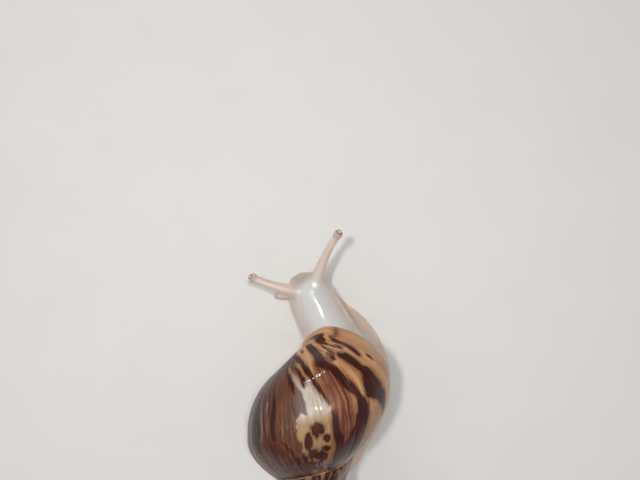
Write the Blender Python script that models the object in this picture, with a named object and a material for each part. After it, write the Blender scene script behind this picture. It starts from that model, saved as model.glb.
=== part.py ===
"""Giant African land snail, juvenile, crawling. The head faces -Y, the sole lies on z = 0, lengths in mm below."""
import math

import bmesh
import bpy
import numpy as np
from mathutils import Matrix, Vector

MM = 0.001
GAP = 0.35                    # clearance between neighbouring parts
CENTRE = (-0.193, 31.540)      # plan position that becomes the origin

# Shell: a dextral spiral, wound on an axis that lies almost level over the foot
SHELL_HEIGHT = 45.0           # apex to basal lip, along the axis
BASE_POINT = (4.0, 17.04, 16.4)   # where the axis meets the basal lip
YAW = 6.6                     # degrees: the apex turns to the animal's right
PITCH = -3.4                  # degrees: the apex dips below the base
ROLL = 4.3                    # degrees: the lip side is lifted
EXPANSION = 1.643             # growth of the whorl in one turn
TURNS = 5.0
STEPS = 20                    # sections in one turn
PERIPHERY = (0.352, 0.666)    # radius and depth of the widest point, in shell heights
SUTURE = (0.2114, 0.454)
SHOULDER = (0.042, 0.032)     # direction in which the whorl leaves the suture
FLANK = 0.086
BASAL_LIP = (0.12, 0.988)
COLUMELLA_END = 0.93
BASE_BULGE = 0.118
LIP_LEAN = (0.7, 27.7)        # degrees the lip trails at the suture side and at the base
APEX_BLUNT = 0.03
# Local swellings of the last half whorl: growth angle, across value (0 suture, 1 next suture line, 2 axis),
# reach in degrees, reach across, outward shift and forward shift
SWELLS = [
    (-8, 1.25, 32, 0.45, 0.93, -0.38), (-85, 1.88, 40, 0.14, -0.49, 0.83), (-165, 1.0, 45, 0.5, -0.28, -0.24),
    (-5, 0.3, 30, 0.3, -1.21, -0.68), (-40, 1.75, 30, 0.2, -0.84, -0.78),
]
# Where the last whorl sinks onto the one before, next to the lip: growth angle, reach in degrees, reach across
# on the last whorl and on the one before, outward and forward shift
SINK = (-16, 49, 0.165, 0.69, -1.88, -0.86)
# Hollow in the flank of the whorl before, below the lip: as the swellings
HOLLOW = (-376, 0.36, 58.6, 0.44, -1.9, 1.41)
RECESS_SCALE = 0.87           # opening left inside the lip
RECESS_TURN = 105.0           # degrees that the opening runs back
COLLAR_SCALE = 0.80
COLLAR_TURN = 15.0

# Foot: middle line x, y, half width, thickness of the back
FOOT = [
    (2.5, 8.8, 1.4, 0.9), (2.1, 9.6, 2.4, 1.2), (1.5, 11.1, 3.1, 1.6), (0.5, 13.4, 4.0, 2.2),
    (-1.7, 16.9, 5.3, 2.8), (-3.8, 20.8, 7.0, 3.3), (-5.1, 25.2, 8.8, 3.7), (-5.4, 30.4, 9.6, 3.8),
    (-5.0, 35.6, 8.8, 3.5), (-3.6, 40.6, 7.2, 3.1), (-1.6, 45.4, 6.2, 2.7), (0.6, 50.4, 4.9, 2.3),
    (2.5, 55.4, 3.4, 1.9), (3.7, 59.8, 2.0, 1.4), (4.3, 62.8, 1.0, 1.0), (4.45, 63.6, 0.45, 0.8),
]
FLANGE = 0.75                 # thickness of the margin of the foot
TAIL_STATION = 9

# Head and neck: x, y, z of the middle, half width, half height
HEAD = [
    (4.6, 7.35, 3.5, 1.2, 1.1), (4.3, 7.9, 3.6, 2.2, 1.9), (3.85, 8.8, 4.0, 3.0, 2.8),
    (3.2, 9.9, 4.5, 3.75, 3.5), (2.5, 11.1, 4.9, 4.3, 4.0),
]
NECK = [
    (2.35, 11.4, 4.95, 4.35, 4.05), (1.5, 13.1, 5.35, 4.65, 4.5), (0.0, 16.0, 6.1, 4.9, 5.25),
    (-1.8, 19.3, 7.0, 5.15, 6.1), (-3.7, 22.9, 7.9, 5.5, 6.9), (-5.4, 26.6, 8.6, 5.9, 7.4),
]
TRUNK_FOOT = (-5.4, 30.0, 8.4, 14.0)      # plan ellipse where the trunk stands on the foot

# Tentacles: x, y, z, radius from base to tip
UPPER_LEFT = [
    (3.4, 11.5, 6.8, 1.75), (5.0, 11.3, 7.6, 1.5), (6.6, 11.1, 8.1, 1.22), (9.0, 10.5, 8.5, 0.94),
    (11.3, 9.75, 8.8, 0.76), (12.8, 9.15, 8.95, 0.74), (13.7, 8.75, 9.05, 0.9), (14.25, 8.5, 9.1, 0.6),
]
UPPER_RIGHT = [
    (1.4, 10.6, 7.0, 1.85), (0.6, 8.9, 8.0, 1.5), (0.0, 7.1, 9.0, 1.14), (-1.0, 4.8, 10.6, 0.84),
    (-2.1, 2.6, 12.1, 0.66), (-3.05, 1.1, 13.15, 0.66), (-3.6, 0.3, 13.75, 0.9), (-3.95, -0.3, 14.15, 0.6),
]
LOWER_LEFT = [
    (5.2, 11.0, 3.3, 1.0), (6.6, 11.9, 3.2, 0.9), (7.8, 12.2, 3.1, 0.75), (9.0, 12.1, 2.9, 0.72),
    (9.7, 12.0, 2.8, 0.45),
]
LOWER_RIGHT = [
    (2.2, 9.0, 2.9, 1.0), (1.2, 7.9, 2.7, 0.9), (0.5, 7.0, 2.5, 0.75), (-0.2, 5.9, 2.3, 0.72),
    (-0.6, 5.3, 2.2, 0.45),
]
EYE_RADIUS = 0.62
LIPS = ((4.2, 8.3, 1.7), (1.9, 1.25, 0.85))     # middle and half sizes


def clear_scene():
    for obj in list(bpy.data.objects):
        bpy.data.objects.remove(obj, do_unlink=True)
    made = bpy.data.collections.new("giant_african_land_snail")
    bpy.context.scene.collection.children.link(made)
    return made


def material(name, colour, roughness):
    mat = bpy.data.materials.new(name)
    mat.use_nodes = True
    shader = mat.node_tree.nodes["Principled BSDF"]
    shader.inputs["Base Color"].default_value = (*colour, 1.0)
    shader.inputs["Roughness"].default_value = roughness
    shader.inputs["Metallic"].default_value = 0.0
    return mat


def solid(name, bm):
    """A mesh object from a bmesh given in mm, with its faces turned outward."""
    bmesh.ops.recalc_face_normals(bm, faces=bm.faces)
    if bm.calc_volume(signed=True) < 0:
        bmesh.ops.reverse_faces(bm, faces=bm.faces)
    bmesh.ops.scale(bm, vec=(MM, MM, MM), verts=bm.verts)
    mesh = bpy.data.meshes.new(name)
    bm.to_mesh(mesh)
    bm.free()
    obj = bpy.data.objects.new(name, mesh)
    bpy.context.scene.collection.objects.link(obj)
    return obj


def loft(name, loops):
    """A closed body through rings of equal counts, with flat ends."""
    bm = bmesh.new()
    rings = [[bm.verts.new(tuple(p)) for p in loop] for loop in loops]
    count = len(rings[0])
    for one, two in zip(rings, rings[1:]):
        for i in range(count):
            j = (i + 1) % count
            bm.faces.new((one[i], one[j], two[j], two[i]))
    ends = [bm.faces.new(rings[0]), bm.faces.new(rings[-1])]
    bmesh.ops.triangulate(bm, faces=ends)
    return solid(name, bm)


def evaluated(obj):
    """Replaces the object's mesh by what its modifiers make of it."""
    if not obj.users_collection:
        bpy.context.scene.collection.objects.link(obj)
    graph = bpy.context.evaluated_depsgraph_get()
    mesh = bpy.data.meshes.new_from_object(obj.evaluated_get(graph))
    obj.modifiers.clear()
    obj.data = mesh
    return obj


def cut(obj, *cutters):
    for cutter in cutters:
        step = obj.modifiers.new("cut", "BOOLEAN")
        step.operation = "DIFFERENCE"
        step.solver = "EXACT"
        step.use_self = True
        step.object = cutter
    evaluated(obj)
    bm = bmesh.new()
    bm.from_mesh(obj.data)
    bmesh.ops.dissolve_degenerate(bm, dist=2e-6, edges=bm.edges)
    bmesh.ops.triangulate(bm, faces=bm.faces)
    bm.to_mesh(obj.data)
    bm.free()
    return obj


# ---- shell ----

def bezier(a, b, c, d, count):
    t = np.linspace(0.0, 1.0, count)[:, None]
    a, b, c, d = (np.array(p, float) for p in (a, b, c, d))
    return (1 - t) ** 3 * a + 3 * (1 - t) ** 2 * t * b + 3 * (1 - t) * t * t * c + t ** 3 * d


def whorl_profile():
    """(flank, base): radius and depth from the suture down to the next suture line, and from there to the axis."""
    top = np.array(SUTURE)
    low = top * EXPANSION
    wide = np.array(PERIPHERY)
    lip = np.array(BASAL_LIP)
    end = np.array([0.0, COLUMELLA_END])
    rest = 0.35 * (low[1] - wide[1])
    shoulder = bezier(top, top + SHOULDER, wide - (0, FLANK), wide, 8)
    flank = bezier(wide, wide + (0, rest), low - (0.6 * (low[0] - wide[0]), rest), low, 4)
    base = bezier(low, low + (-0.018, BASE_BULGE), lip + (0.1, 0), lip, 9)
    pillar = bezier(lip, lip - (0.05, 0), end + (0.02, 0.03), end, 5)
    return np.vstack([shoulder, flank[1:]]), np.vstack([base[1:], pillar[1:]])


def ease(t):
    t = min(max(t, 0.0), 1.0)
    return t * t * (3 - 2 * t)


def shell_axes():
    """Unit vectors towards the apex, to the lip side and to the back, for the tilted axis."""
    yaw, pitch, roll = (math.radians(v) for v in (YAW, PITCH, ROLL))
    apex = Vector((-math.sin(yaw) * math.cos(pitch), math.cos(yaw) * math.cos(pitch), math.sin(pitch)))
    side = Vector((-math.cos(yaw), -math.sin(yaw), 0.0))
    back = apex.cross(side)
    if back.z < 0:
        back.negate()
    lip = side * math.cos(roll) + back * math.sin(roll)
    return apex, lip, back * math.cos(roll) - side * math.sin(roll)


def shell_point(angle, radius, depth):
    """The place of a point of the spiral: angle in radians from the lip, lengths in shell heights."""
    apex, lip, back = shell_axes()
    a = APEX_BLUNT
    depth = (math.sqrt(depth * depth + a * a) - a) / (math.sqrt(1 + a * a) - a)
    h = SHELL_HEIGHT
    place = Vector(BASE_POINT) + apex * (h - depth * h)
    return place + lip * (radius * math.cos(angle) * h) + back * (-radius * math.sin(angle) * h)


def section_angles(angle, flank, base):
    """Angles of the profile points of one section: the lip trails towards the base."""
    first, last = LIP_LEAN
    lean = list(np.linspace(0, first, len(flank))) + list(np.linspace(first, last, len(base) + 1)[1:])
    share = ease((angle + math.pi) / math.pi)
    return [angle - math.radians(v) * share for v in lean]


def across_values(flank, base):
    """0 at the suture, 1 at the next suture line, 2 at the axis, for the points of one section."""
    shoulder = np.linspace(0, 2 / 3, 8)
    to_lip = np.linspace(1, 1.9375, 9)
    values = [shoulder, np.linspace(2 / 3, 1, len(flank) - 7)[1:], to_lip[1:]]
    return np.concatenate([*values, np.linspace(1.9375, 2, len(base) - 7)[1:]])


def share(value, reach):
    return math.exp(-(value / reach) ** 2)


def sink(turn, across):
    """Share of the sinking of the suture, equal on both sides of each suture line."""
    middle, reach, newer, older = SINK[:4]
    part = share(turn - middle, reach) * share(across, newer)
    part += share(turn - middle + 360, reach) * share(across - 1, older)
    part += share(turn - middle + 720, reach) * share(1, older) * share(across - 1, 0.5) * min(1.0, across / 0.13)
    return part * min(1.0, (2 - across) / 0.0625)


def swell(angle, across):
    """Outward and forward shift, in shell heights, of a point that grew at this angle (radians)."""
    turn = math.degrees(angle)
    shift = np.array(SINK[4:]) * sink(turn, across)
    fade = min(1.0, (2 - across) / 0.0625, across / 0.13)
    for g, v, reach, spread, out, forward in SWELLS:
        shift += np.array([out, forward]) * fade * share(turn - g, reach) * share(across - v, spread)
    g, v, reach, spread, out, forward = HOLLOW
    fade = max(0.0, min(1.0, across / 0.13, (1 - across) / 0.25))
    shift += np.array([out, forward]) * fade * share(turn - g, reach) * share(across - v, spread)
    return shift / SHELL_HEIGHT


def shell_body(name, turns=TURNS):
    """The closed outer form of the shell, with a flat face across the aperture."""
    flank, base = whorl_profile()
    whole = np.vstack([flank, base])
    across = across_values(flank, base)
    count = int(turns * STEPS)
    bm = bmesh.new()
    rows = []
    for i in range(count + 1):
        angle = -(count - i) / STEPS * 2 * math.pi
        if i < count - STEPS:
            profile, angles = flank, [angle] * len(flank)
        else:
            profile, angles = whole, section_angles(angle, flank, base)
        row = []
        for at, (radius, depth), v in zip(angles, profile, across):
            size = EXPANSION ** (at / 2 / math.pi)
            out, forward = swell(angle, v)
            row.append(bm.verts.new(shell_point(at, radius * size + out, depth * size + forward)))
        rows.append(row)
    for i in range(count):
        one, two = rows[i], rows[i + 1]
        for j in range(min(len(one), len(two)) - 1):
            bm.faces.new((one[j], one[j + 1], two[j + 1], two[j]))
    size = EXPANSION ** (-turns)
    pole = bm.verts.new(shell_point(0, 0, (SUTURE[1] - 0.05) * size))
    rim = [rows[i][0] for i in range(STEPS + 1)]
    rim += list(reversed(rows[0]))[1:]
    for one, two in zip(rim, rim[1:]):
        bm.faces.new((pole, one, two))
    bmesh.ops.remove_doubles(bm, verts=bm.verts, dist=1e-4)
    open_edges = [edge for edge in bm.edges if edge.is_boundary]
    bmesh.ops.triangle_fill(bm, edges=open_edges, use_beauty=True, use_dissolve=False)
    return solid(name, bm)


def mouth_loop(angle, scale):
    """The opening at one section, shrunk about its middle: outer wall, then the wall of the whorl before."""
    flank, base = whorl_profile()
    angles = section_angles(angle, flank, base)
    outer = np.vstack([flank, base])[1::2]
    outer_angles = angles[1::2]
    shifts = [swell(angle, v) / EXPANSION ** (angle / 2 / math.pi) for v in across_values(flank, base)[1::2]]
    outer = outer + np.array(shifts)
    inner = base[::-2] / EXPANSION
    inner_angles = list(np.linspace(angles[-1], angle, len(inner) + 1)[:-1])
    loop = np.vstack([outer, inner])
    loop[:, 0] = np.maximum(loop[:, 0], 0.022)
    middle = loop.mean(axis=0)
    loop = middle + (loop - middle) * scale
    made = []
    for (radius, depth), at in zip(loop, list(outer_angles) + inner_angles):
        size = EXPANSION ** (at / 2 / math.pi)
        made.append(shell_point(at, radius * size, depth * size))
    return made


def build_shell():
    shell = shell_body("shell")
    angles = np.linspace(math.radians(8), -math.radians(RECESS_TURN), 9)
    recess = loft("recess", [mouth_loop(a, RECESS_SCALE) for a in angles])
    cut(shell, recess)
    bpy.data.objects.remove(recess, do_unlink=True)
    return shell


def grow_out(grown):
    """Moves the surface out by the clearance."""
    step = grown.modifiers.new("grow", "DISPLACE")
    step.strength = GAP * MM
    step.mid_level = 0.0
    return evaluated(grown)


# ---- flesh ----

def section_frame(points, i):
    """Directions across and up for station i of a path."""
    ahead = Vector(points[min(i + 1, len(points) - 1)][:3]) - Vector(points[max(i - 1, 0)][:3])
    ahead.normalize()
    across = ahead.cross(Vector((0, 0, 1))).normalized()
    return ahead, across, across.cross(ahead).normalized()


def oval_loft(name, stations, count, grow=0.0, power=1.0):
    """Elliptic sections along a path; grow widens them and lengthens both ends."""
    loops = []
    last = len(stations) - 1
    for i, (x, y, z, wide, high) in enumerate(stations):
        ahead, across, up = section_frame(stations, i)
        middle = Vector((x, y, z))
        if grow and i in (0, last):
            middle += ahead * (grow if i else -grow)
        loop = []
        for k in range(count):
            turn = 2 * math.pi * k / count
            c, s = math.cos(turn), math.sin(turn)
            c = math.copysign(abs(c) ** power, c)
            s = math.copysign(abs(s) ** power, s)
            loop.append(middle + across * (c * (wide + grow)) + up * (s * (high + grow)))
        loops.append(loop)
    return loft(name, loops)


def foot_loop(stations, i, grow=0.0):
    """A flat sole with a thin flange each side and a rounded back."""
    x, y, half, back = stations[i]
    before = Vector(stations[max(i - 1, 0)][:2])
    after = Vector(stations[min(i + 1, len(stations) - 1)][:2])
    ahead = (after - before).normalized()
    across = Vector((ahead.y, -ahead.x))
    edge = min(FLANGE, back * 0.8)
    half += grow
    shape = [
        (-1.0, 0.45 * edge), (-0.965, 0.0), (-0.5, 0.0), (0.0, 0.0), (0.5, 0.0), (0.965, 0.0),
        (1.0, 0.45 * edge), (0.97, 0.85 * edge), (0.84, edge + 0.12 * (back - edge)),
        (0.66, edge + 0.42 * (back - edge)), (0.4, edge + 0.84 * (back - edge)), (0.0, back),
        (-0.4, edge + 0.84 * (back - edge)), (-0.66, edge + 0.42 * (back - edge)),
        (-0.84, edge + 0.12 * (back - edge)), (-0.97, 0.85 * edge),
    ]
    loop = []
    for u, v in shape:
        high = v - 2 * grow if v == 0.0 else v + grow
        loop.append(Vector((x, y, 0)) + Vector((*across, 0)) * (u * half) + Vector((0, 0, high)))
    return loop


def foot_loft(name, first, last, grow=0.0):
    loops = [foot_loop(FOOT, i, grow) for i in range(first, last + 1)]
    x, y, half, back = FOOT[first]
    ahead = (Vector(FOOT[first + 1][:2]) - Vector(FOOT[first][:2])).normalized()
    if first and not grow:
        loops[0] = [p + Vector((*ahead, 0)) * GAP for p in loops[0]]
    if not first and grow:
        loops[0] = [p - Vector((*ahead, 0)) * grow for p in loops[0]]
    return loft(name, loops)


def ellipsoid(name, middle, sizes, grow=0.0, segments=14, rings=9):
    bm = bmesh.new()
    bmesh.ops.create_uvsphere(bm, u_segments=segments, v_segments=rings, radius=1.0)
    scale = Matrix.Diagonal((*[s + grow for s in sizes], 1.0))
    bmesh.ops.transform(bm, matrix=Matrix.Translation(middle) @ scale, verts=bm.verts)
    return solid(name, bm)


def tube(name, stations, grow=0.0, count=12):
    """A round tapered tube; an extra small ring rounds the tip."""
    full = [(x, y, z, r, r) for x, y, z, r in stations]
    return oval_loft(name, full, count, grow)


def build_trunk():
    """The stalk of the body, from the aperture down to the back of the foot."""
    top = mouth_loop(math.radians(-10), 0.82)
    x, y, half_x, half_y = TRUNK_FOOT
    count = len(top)
    middle = sum(top, Vector()) / count
    steps = [(two - one).length for one, two in zip(top, top[1:] + top[:1])]
    turned = np.concatenate([[0.0], np.cumsum(steps)[:-1]]) / sum(steps) * 2 * math.pi
    area = sum(one.x * two.y - two.x * one.y for one, two in zip(top, top[1:] + top[:1]))
    start = math.atan2((top[0].y - middle.y) / half_y, (top[0].x - middle.x) / half_x)
    order = [start + math.copysign(t, area) for t in turned]
    low = [Vector((x + half_x * math.cos(a), y + half_y * math.sin(a), 1.4)) for a in order]
    loops = []
    for share in (0.0, 0.2, 0.4, 0.6, 0.75, 0.88, 1.0):
        bend = 1 - 0.08 * math.sin(math.pi * share)
        ring = [one.lerp(two, share ** 2.2) for one, two in zip(top, low)]
        for p, one, two in zip(ring, top, low):
            p.z = one.z + (two.z - one.z) * share
        centre = sum(ring, Vector()) / count
        loops.append([centre + (p - centre) * bend for p in ring])
    return loft("trunk", loops)


def build_tentacle(name, stations, eye_name, head_clearance):
    tip = Vector(stations[-2][:3])
    along = (tip - Vector(stations[-3][:3])).normalized()
    if not eye_name:
        return [cut(tube(name, stations, count=10), head_clearance)]
    middle = tip + along * 0.35 + Vector((0, 0, 0.35))
    sizes = (EYE_RADIUS,) * 3
    socket = ellipsoid("socket", middle, sizes, grow=GAP)
    stalk = cut(tube(name, stations), head_clearance, socket)
    bpy.data.objects.remove(socket, do_unlink=True)
    return [stalk, ellipsoid(eye_name, middle, sizes)]


def build_flesh(shell):
    shell_room = grow_out(shell_body("shell_room", turns=3.0))
    wall_room = grow_out(bpy.data.objects.new("wall_room", shell.data.copy()))
    foot_room = foot_loft("foot_room", 0, len(FOOT) - 1, GAP)
    head_room = oval_loft("head_room", HEAD, 20, GAP)
    neck_room = oval_loft("neck_room", NECK, 20, GAP)
    trunk = cut(build_trunk(), shell_room, neck_room, foot_room)
    neck = cut(oval_loft("neck", NECK, 20), shell_room, foot_room)
    head = cut(oval_loft("head", HEAD, 20), foot_room, neck_room)
    foot = cut(foot_loft("foot", 0, TAIL_STATION), shell_room)
    tail = foot_loft("tail", TAIL_STATION, len(FOOT) - 1)
    lips = cut(ellipsoid("lips", *LIPS), head_room, foot_room)
    angles = np.linspace(0.0, -math.radians(COLLAR_TURN), 3)
    collar = cut(loft("mantle_collar", [mouth_loop(a, COLLAR_SCALE) for a in angles]), wall_room)
    parts = [trunk, neck, head, foot, tail, lips, collar]
    eyes = []
    for side, stations in (("left", UPPER_LEFT), ("right", UPPER_RIGHT)):
        stalk, eye = build_tentacle(f"upper_tentacle_{side}", stations, f"eye_{side}", head_room)
        cut(stalk, neck_room)
        parts.append(stalk)
        eyes.append(eye)
    for side, stations in (("left", LOWER_LEFT), ("right", LOWER_RIGHT)):
        stalk = build_tentacle(f"lower_tentacle_{side}", stations, None, head_room)[0]
        parts.append(cut(stalk, neck_room, foot_room))
    for room in (shell_room, wall_room, foot_room, head_room, neck_room):
        bpy.data.objects.remove(room, do_unlink=True)
    return parts, eyes


def main():
    made = clear_scene()
    shell = build_shell()
    flesh, eyes = build_flesh(shell)
    brown = material("shell_gloss", (0.30, 0.15, 0.06), 0.25)
    skins = {
        "foot": (0.62, 0.56, 0.44),
        "tail": (0.62, 0.56, 0.45),
        "neck": (0.70, 0.73, 0.72),
        "head": (0.66, 0.67, 0.63),
        "lips": (0.60, 0.52, 0.46),
        "trunk": (0.64, 0.60, 0.50),
        "mantle_collar": (0.58, 0.48, 0.36),
    }
    shell.data.materials.clear()
    shell.data.materials.append(brown)
    for obj in flesh:
        colour = skins.get(obj.name, (0.60, 0.55, 0.49))
        obj.data.materials.clear()
        obj.data.materials.append(material(f"skin_{obj.name}", colour, 0.35))
    for obj in eyes:
        obj.data.materials.clear()
        obj.data.materials.append(material(f"gloss_{obj.name}", (0.32, 0.25, 0.21), 0.15))
    shift = Vector((-CENTRE[0] * MM, -CENTRE[1] * MM, 0))
    for obj in [shell, *flesh, *eyes]:
        obj.data.transform(Matrix.Translation(shift))
        bpy.context.scene.collection.objects.unlink(obj)
        made.objects.link(obj)


main()
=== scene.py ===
import math
from itertools import product

import bpy
import numpy as np
from mathutils import Matrix, Vector
from mathutils.bvhtree import BVHTree


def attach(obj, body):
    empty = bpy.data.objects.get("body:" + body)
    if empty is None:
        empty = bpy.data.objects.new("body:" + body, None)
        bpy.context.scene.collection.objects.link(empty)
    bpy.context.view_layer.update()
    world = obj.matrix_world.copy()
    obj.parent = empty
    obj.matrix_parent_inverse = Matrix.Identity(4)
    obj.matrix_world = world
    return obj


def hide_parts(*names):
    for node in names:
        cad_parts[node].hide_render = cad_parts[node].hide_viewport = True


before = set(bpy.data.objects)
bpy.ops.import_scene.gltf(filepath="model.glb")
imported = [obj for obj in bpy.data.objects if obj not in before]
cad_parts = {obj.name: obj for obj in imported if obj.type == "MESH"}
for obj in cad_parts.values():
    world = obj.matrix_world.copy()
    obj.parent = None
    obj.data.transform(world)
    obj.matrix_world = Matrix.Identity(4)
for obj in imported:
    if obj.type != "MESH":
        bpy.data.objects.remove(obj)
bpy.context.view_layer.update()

MM = 0.001
TAU = 2 * math.pi
CENTRE = np.array([-0.193, 31.540, 0.0])   # plan position of the row frame's origin; lengths below are in mm

# Shell: a dextral spiral on an almost level axis, as in the part. Radii and depths are in shell heights
SHELL_HEIGHT = 45.0
BASE_POINT = np.array([4.0, 17.04, 16.4])
YAW, PITCH, ROLL = (math.radians(v) for v in (6.6, -3.4, 4.3))
EXPANSION = 1.643
PERIPHERY = (0.352, 0.666)
SUTURE = (0.2114, 0.454)
SHOULDER = (0.042, 0.032)
FLANK = 0.086
BASAL_LIP = (0.12, 0.988)
COLUMELLA_END = 0.93
BASE_BULGE = 0.118
LIP_LEAN = (0.7, 27.7)
APEX_BLUNT = 0.03
# Local swellings of the last half whorl: growth angle, across value (0 suture, 1 next suture line, 2 axis),
# reach in degrees, reach across, outward shift and forward shift in mm
SWELLS = [
    (-8, 1.25, 32, 0.45, 0.93, -0.38), (-85, 1.88, 40, 0.14, -0.49, 0.83), (-165, 1.0, 45, 0.5, -0.28, -0.24),
    (-5, 0.3, 30, 0.3, -1.21, -0.68), (-40, 1.75, 30, 0.2, -0.84, -0.78),
]
# Where the last whorl sinks onto the one before, next to the lip: growth angle, reach in degrees, reach
# across on the last whorl and on the one before, outward and forward shift. Then a hollow below the lip,
# given as the swellings are
SINK = (-16, 49, 0.165, 0.69, -1.88, -0.86)
HOLLOW = (-376, 0.36, 58.6, 0.44, -1.9, 1.41)
# Growth angles at which the shell paused, and how deep the line there is
RESTS = [(-14.0, 0.05), (-52.0, 0.07), (-98.0, 0.05), (-152.0, 0.08), (-231.0, 0.07), (-300.0, 0.05)]
SHELL_TURNS = 6.5
WALL = 0.42                    # thickness of the shell near the lip
INNER_TURN = 112.0             # degrees that the inner wall runs back

# Foot: middle line x, y, half width, thickness of the back
FOOT = [
    (2.5, 8.8, 1.4, 0.9), (2.1, 9.6, 2.4, 1.2), (1.5, 11.1, 3.1, 1.6), (0.5, 13.4, 4.0, 2.2),
    (-1.7, 16.9, 5.3, 2.8), (-3.8, 20.8, 7.0, 3.3), (-5.1, 25.2, 8.8, 3.7), (-5.4, 30.4, 9.6, 3.8),
    (-5.0, 35.6, 8.8, 3.5), (-3.6, 40.6, 7.2, 3.1), (-1.6, 45.4, 6.2, 2.7), (0.6, 50.4, 4.9, 2.3),
    (2.5, 55.4, 3.4, 1.9), (3.7, 59.8, 2.0, 1.4), (4.25, 62.6, 1.0, 1.0), (4.4, 63.25, 0.45, 0.8),
]
FLANGE = 0.75                  # thickness of the margin of the foot
# Neck, then head: x, y, z of the middle, half width, half height. Then the tentacles: x, y, z, radius
NECK = [
    (-5.4, 26.6, 8.6, 5.9, 7.4), (-3.7, 22.9, 7.9, 5.5, 6.9), (-1.8, 19.3, 7.0, 5.15, 6.1),
    (0.0, 16.0, 6.1, 4.9, 5.25), (1.5, 13.1, 5.35, 4.65, 4.5), (2.5, 11.1, 4.9, 4.3, 4.0),
    (3.2, 9.9, 4.5, 3.7, 3.45), (3.75, 8.9, 4.1, 2.9, 2.75),
]
TRUNK_FOOT = (-5.4, 30.0, 8.4, 14.0)       # plan ellipse where the trunk stands on the foot
UPPER_LEFT = [
    (3.4, 11.5, 6.6, 1.75), (5.0, 11.3, 7.5, 1.5), (6.6, 11.1, 8.1, 1.22), (9.0, 10.5, 8.5, 0.94),
    (11.3, 9.75, 8.8, 0.76), (12.8, 9.15, 8.95, 0.74), (13.7, 8.75, 9.05, 0.9),
]
UPPER_RIGHT = [
    (1.4, 10.6, 7.0, 1.85), (0.6, 8.9, 8.0, 1.5), (0.0, 7.1, 9.0, 1.14), (-1.0, 4.8, 10.6, 0.84),
    (-2.1, 2.6, 12.1, 0.66), (-3.05, 1.1, 13.15, 0.66), (-3.6, 0.3, 13.75, 0.9),
]
LOWER_LEFT = [
    (5.2, 11.0, 3.3, 1.0), (6.6, 11.9, 3.2, 0.9), (7.8, 12.2, 3.1, 0.75), (9.0, 12.1, 2.9, 0.72),
]
LOWER_RIGHT = [
    (2.2, 9.0, 2.9, 1.0), (1.2, 7.9, 2.7, 0.9), (0.5, 7.0, 2.5, 0.75), (-0.2, 5.9, 2.3, 0.72),
]
STEP = 0.2                     # spacing of the lattice that the skin is drawn from
NECK_SECTIONS, STALK_SECTIONS, FOOT_SECTIONS = 48, 26, 90
NO_FLAME = -9.0                # depth in a flame where there is none
PRIMES = (73856093, 19349663, 83492791)
WORD = 0xFFFFFFFF
CORNERS = list(product((0, 1), repeat=3))


# ---- helpers ----

def srgb(r, g, b):
    """Linear colour from display values."""
    def one(v):
        v /= 255.0
        return v / 12.92 if v <= 0.04045 else ((v + 0.055) / 1.055) ** 2.4
    return one(r), one(g), one(b), 1.0


def ease(t, low=0.0, high=1.0):
    t = np.clip((np.asarray(t, float) - low) / (high - low), 0.0, 1.0)
    return t * t * (3 - 2 * t)


def zone(value, rise, full, fall, end):
    """1 between full and fall, easing to 0 at rise and end."""
    return ease(value, rise, full) * (1 - ease(value, fall, end))


def scrambled(key):
    """Whole numbers of 32 bits, mixed up in a fixed way."""
    key = key ^ (key >> 15)
    key = (key * 2246822519) & WORD
    return key ^ (key >> 13)


def noise(points, seed):
    """Smooth noise between -1 and 1 at points of a lattice with unit spacing."""
    points = np.asarray(points, float)
    cell = np.floor(points).astype(np.int64)
    part = points - cell
    part = part ** 3 * (part * (part * 6 - 15) + 10)
    total = np.zeros(points.shape[:-1])
    for corner in product((0, 1), repeat=points.shape[-1]):
        key = np.full(points.shape[:-1], seed * 977 + 101, np.int64)
        weight = np.ones(points.shape[:-1])
        for axis, bit in enumerate(corner):
            key = (key ^ ((cell[..., axis] + bit) * PRIMES[axis])) & WORD
            key = (key * 1274126177 + 12345) & WORD
            weight = weight * (part[..., axis] if bit else 1 - part[..., axis])
        total += weight * ((scrambled(key) & 0xFFFF) / 32767.5 - 1)
    return total


def scatter(cell, seed):
    """Fixed random numbers between -1 and 1 for whole-numbered cells."""
    x, y, z = cell.T * np.array(PRIMES)[:, None]
    key = (x ^ y ^ z ^ seed * 7919) & WORD
    spots = []
    for _ in range(3):
        key = scrambled((key * 1664525 + 1013904223) & WORD)
        spots.append((key & 0xFFFF) / 32767.5 - 1)
    return np.stack(spots, 1)


def pebbles(points, seed):
    """Rounded cells: 1 in the middle of each, falling towards 0 in the grooves between them."""
    cell = np.floor(points).astype(np.int64)
    first = np.full(len(points), 9.0)
    second = np.full(len(points), 9.0)
    for corner in product((-1, 0, 1), repeat=3):
        at = cell + np.array(corner)
        gap = ((points - at - 0.5 - 0.42 * scatter(at, seed)) ** 2).sum(axis=1)
        second = np.minimum(second, np.maximum(first, gap))
        first = np.minimum(first, gap)
    return ease(np.sqrt(second) - np.sqrt(first), 0.0, 0.55)


def smooth_rows(rows, count):
    """A Catmull-Rom curve through rows of numbers."""
    rows = np.array(rows, float)
    ends = np.vstack([2 * rows[0] - rows[1], rows, 2 * rows[-1] - rows[-2]])
    at = np.linspace(0, len(rows) - 1, count)
    i = np.minimum(at.astype(int), len(rows) - 2)
    t = (at - i)[:, None]
    a, b, c, d = ends[i], ends[i + 1], ends[i + 2], ends[i + 3]
    square, cube = 2 * a - 5 * b + 4 * c - d, 3 * b - a - 3 * c + d
    return 0.5 * (2 * b + (c - a) * t + square * t * t + cube * t ** 3)


def read(items, key, width, kind=np.float32):
    """Rows of numbers from a mesh's points or faces."""
    values = np.empty(len(items) * width, kind)
    items.foreach_get(key, values)
    return values.reshape(-1, width)


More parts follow.
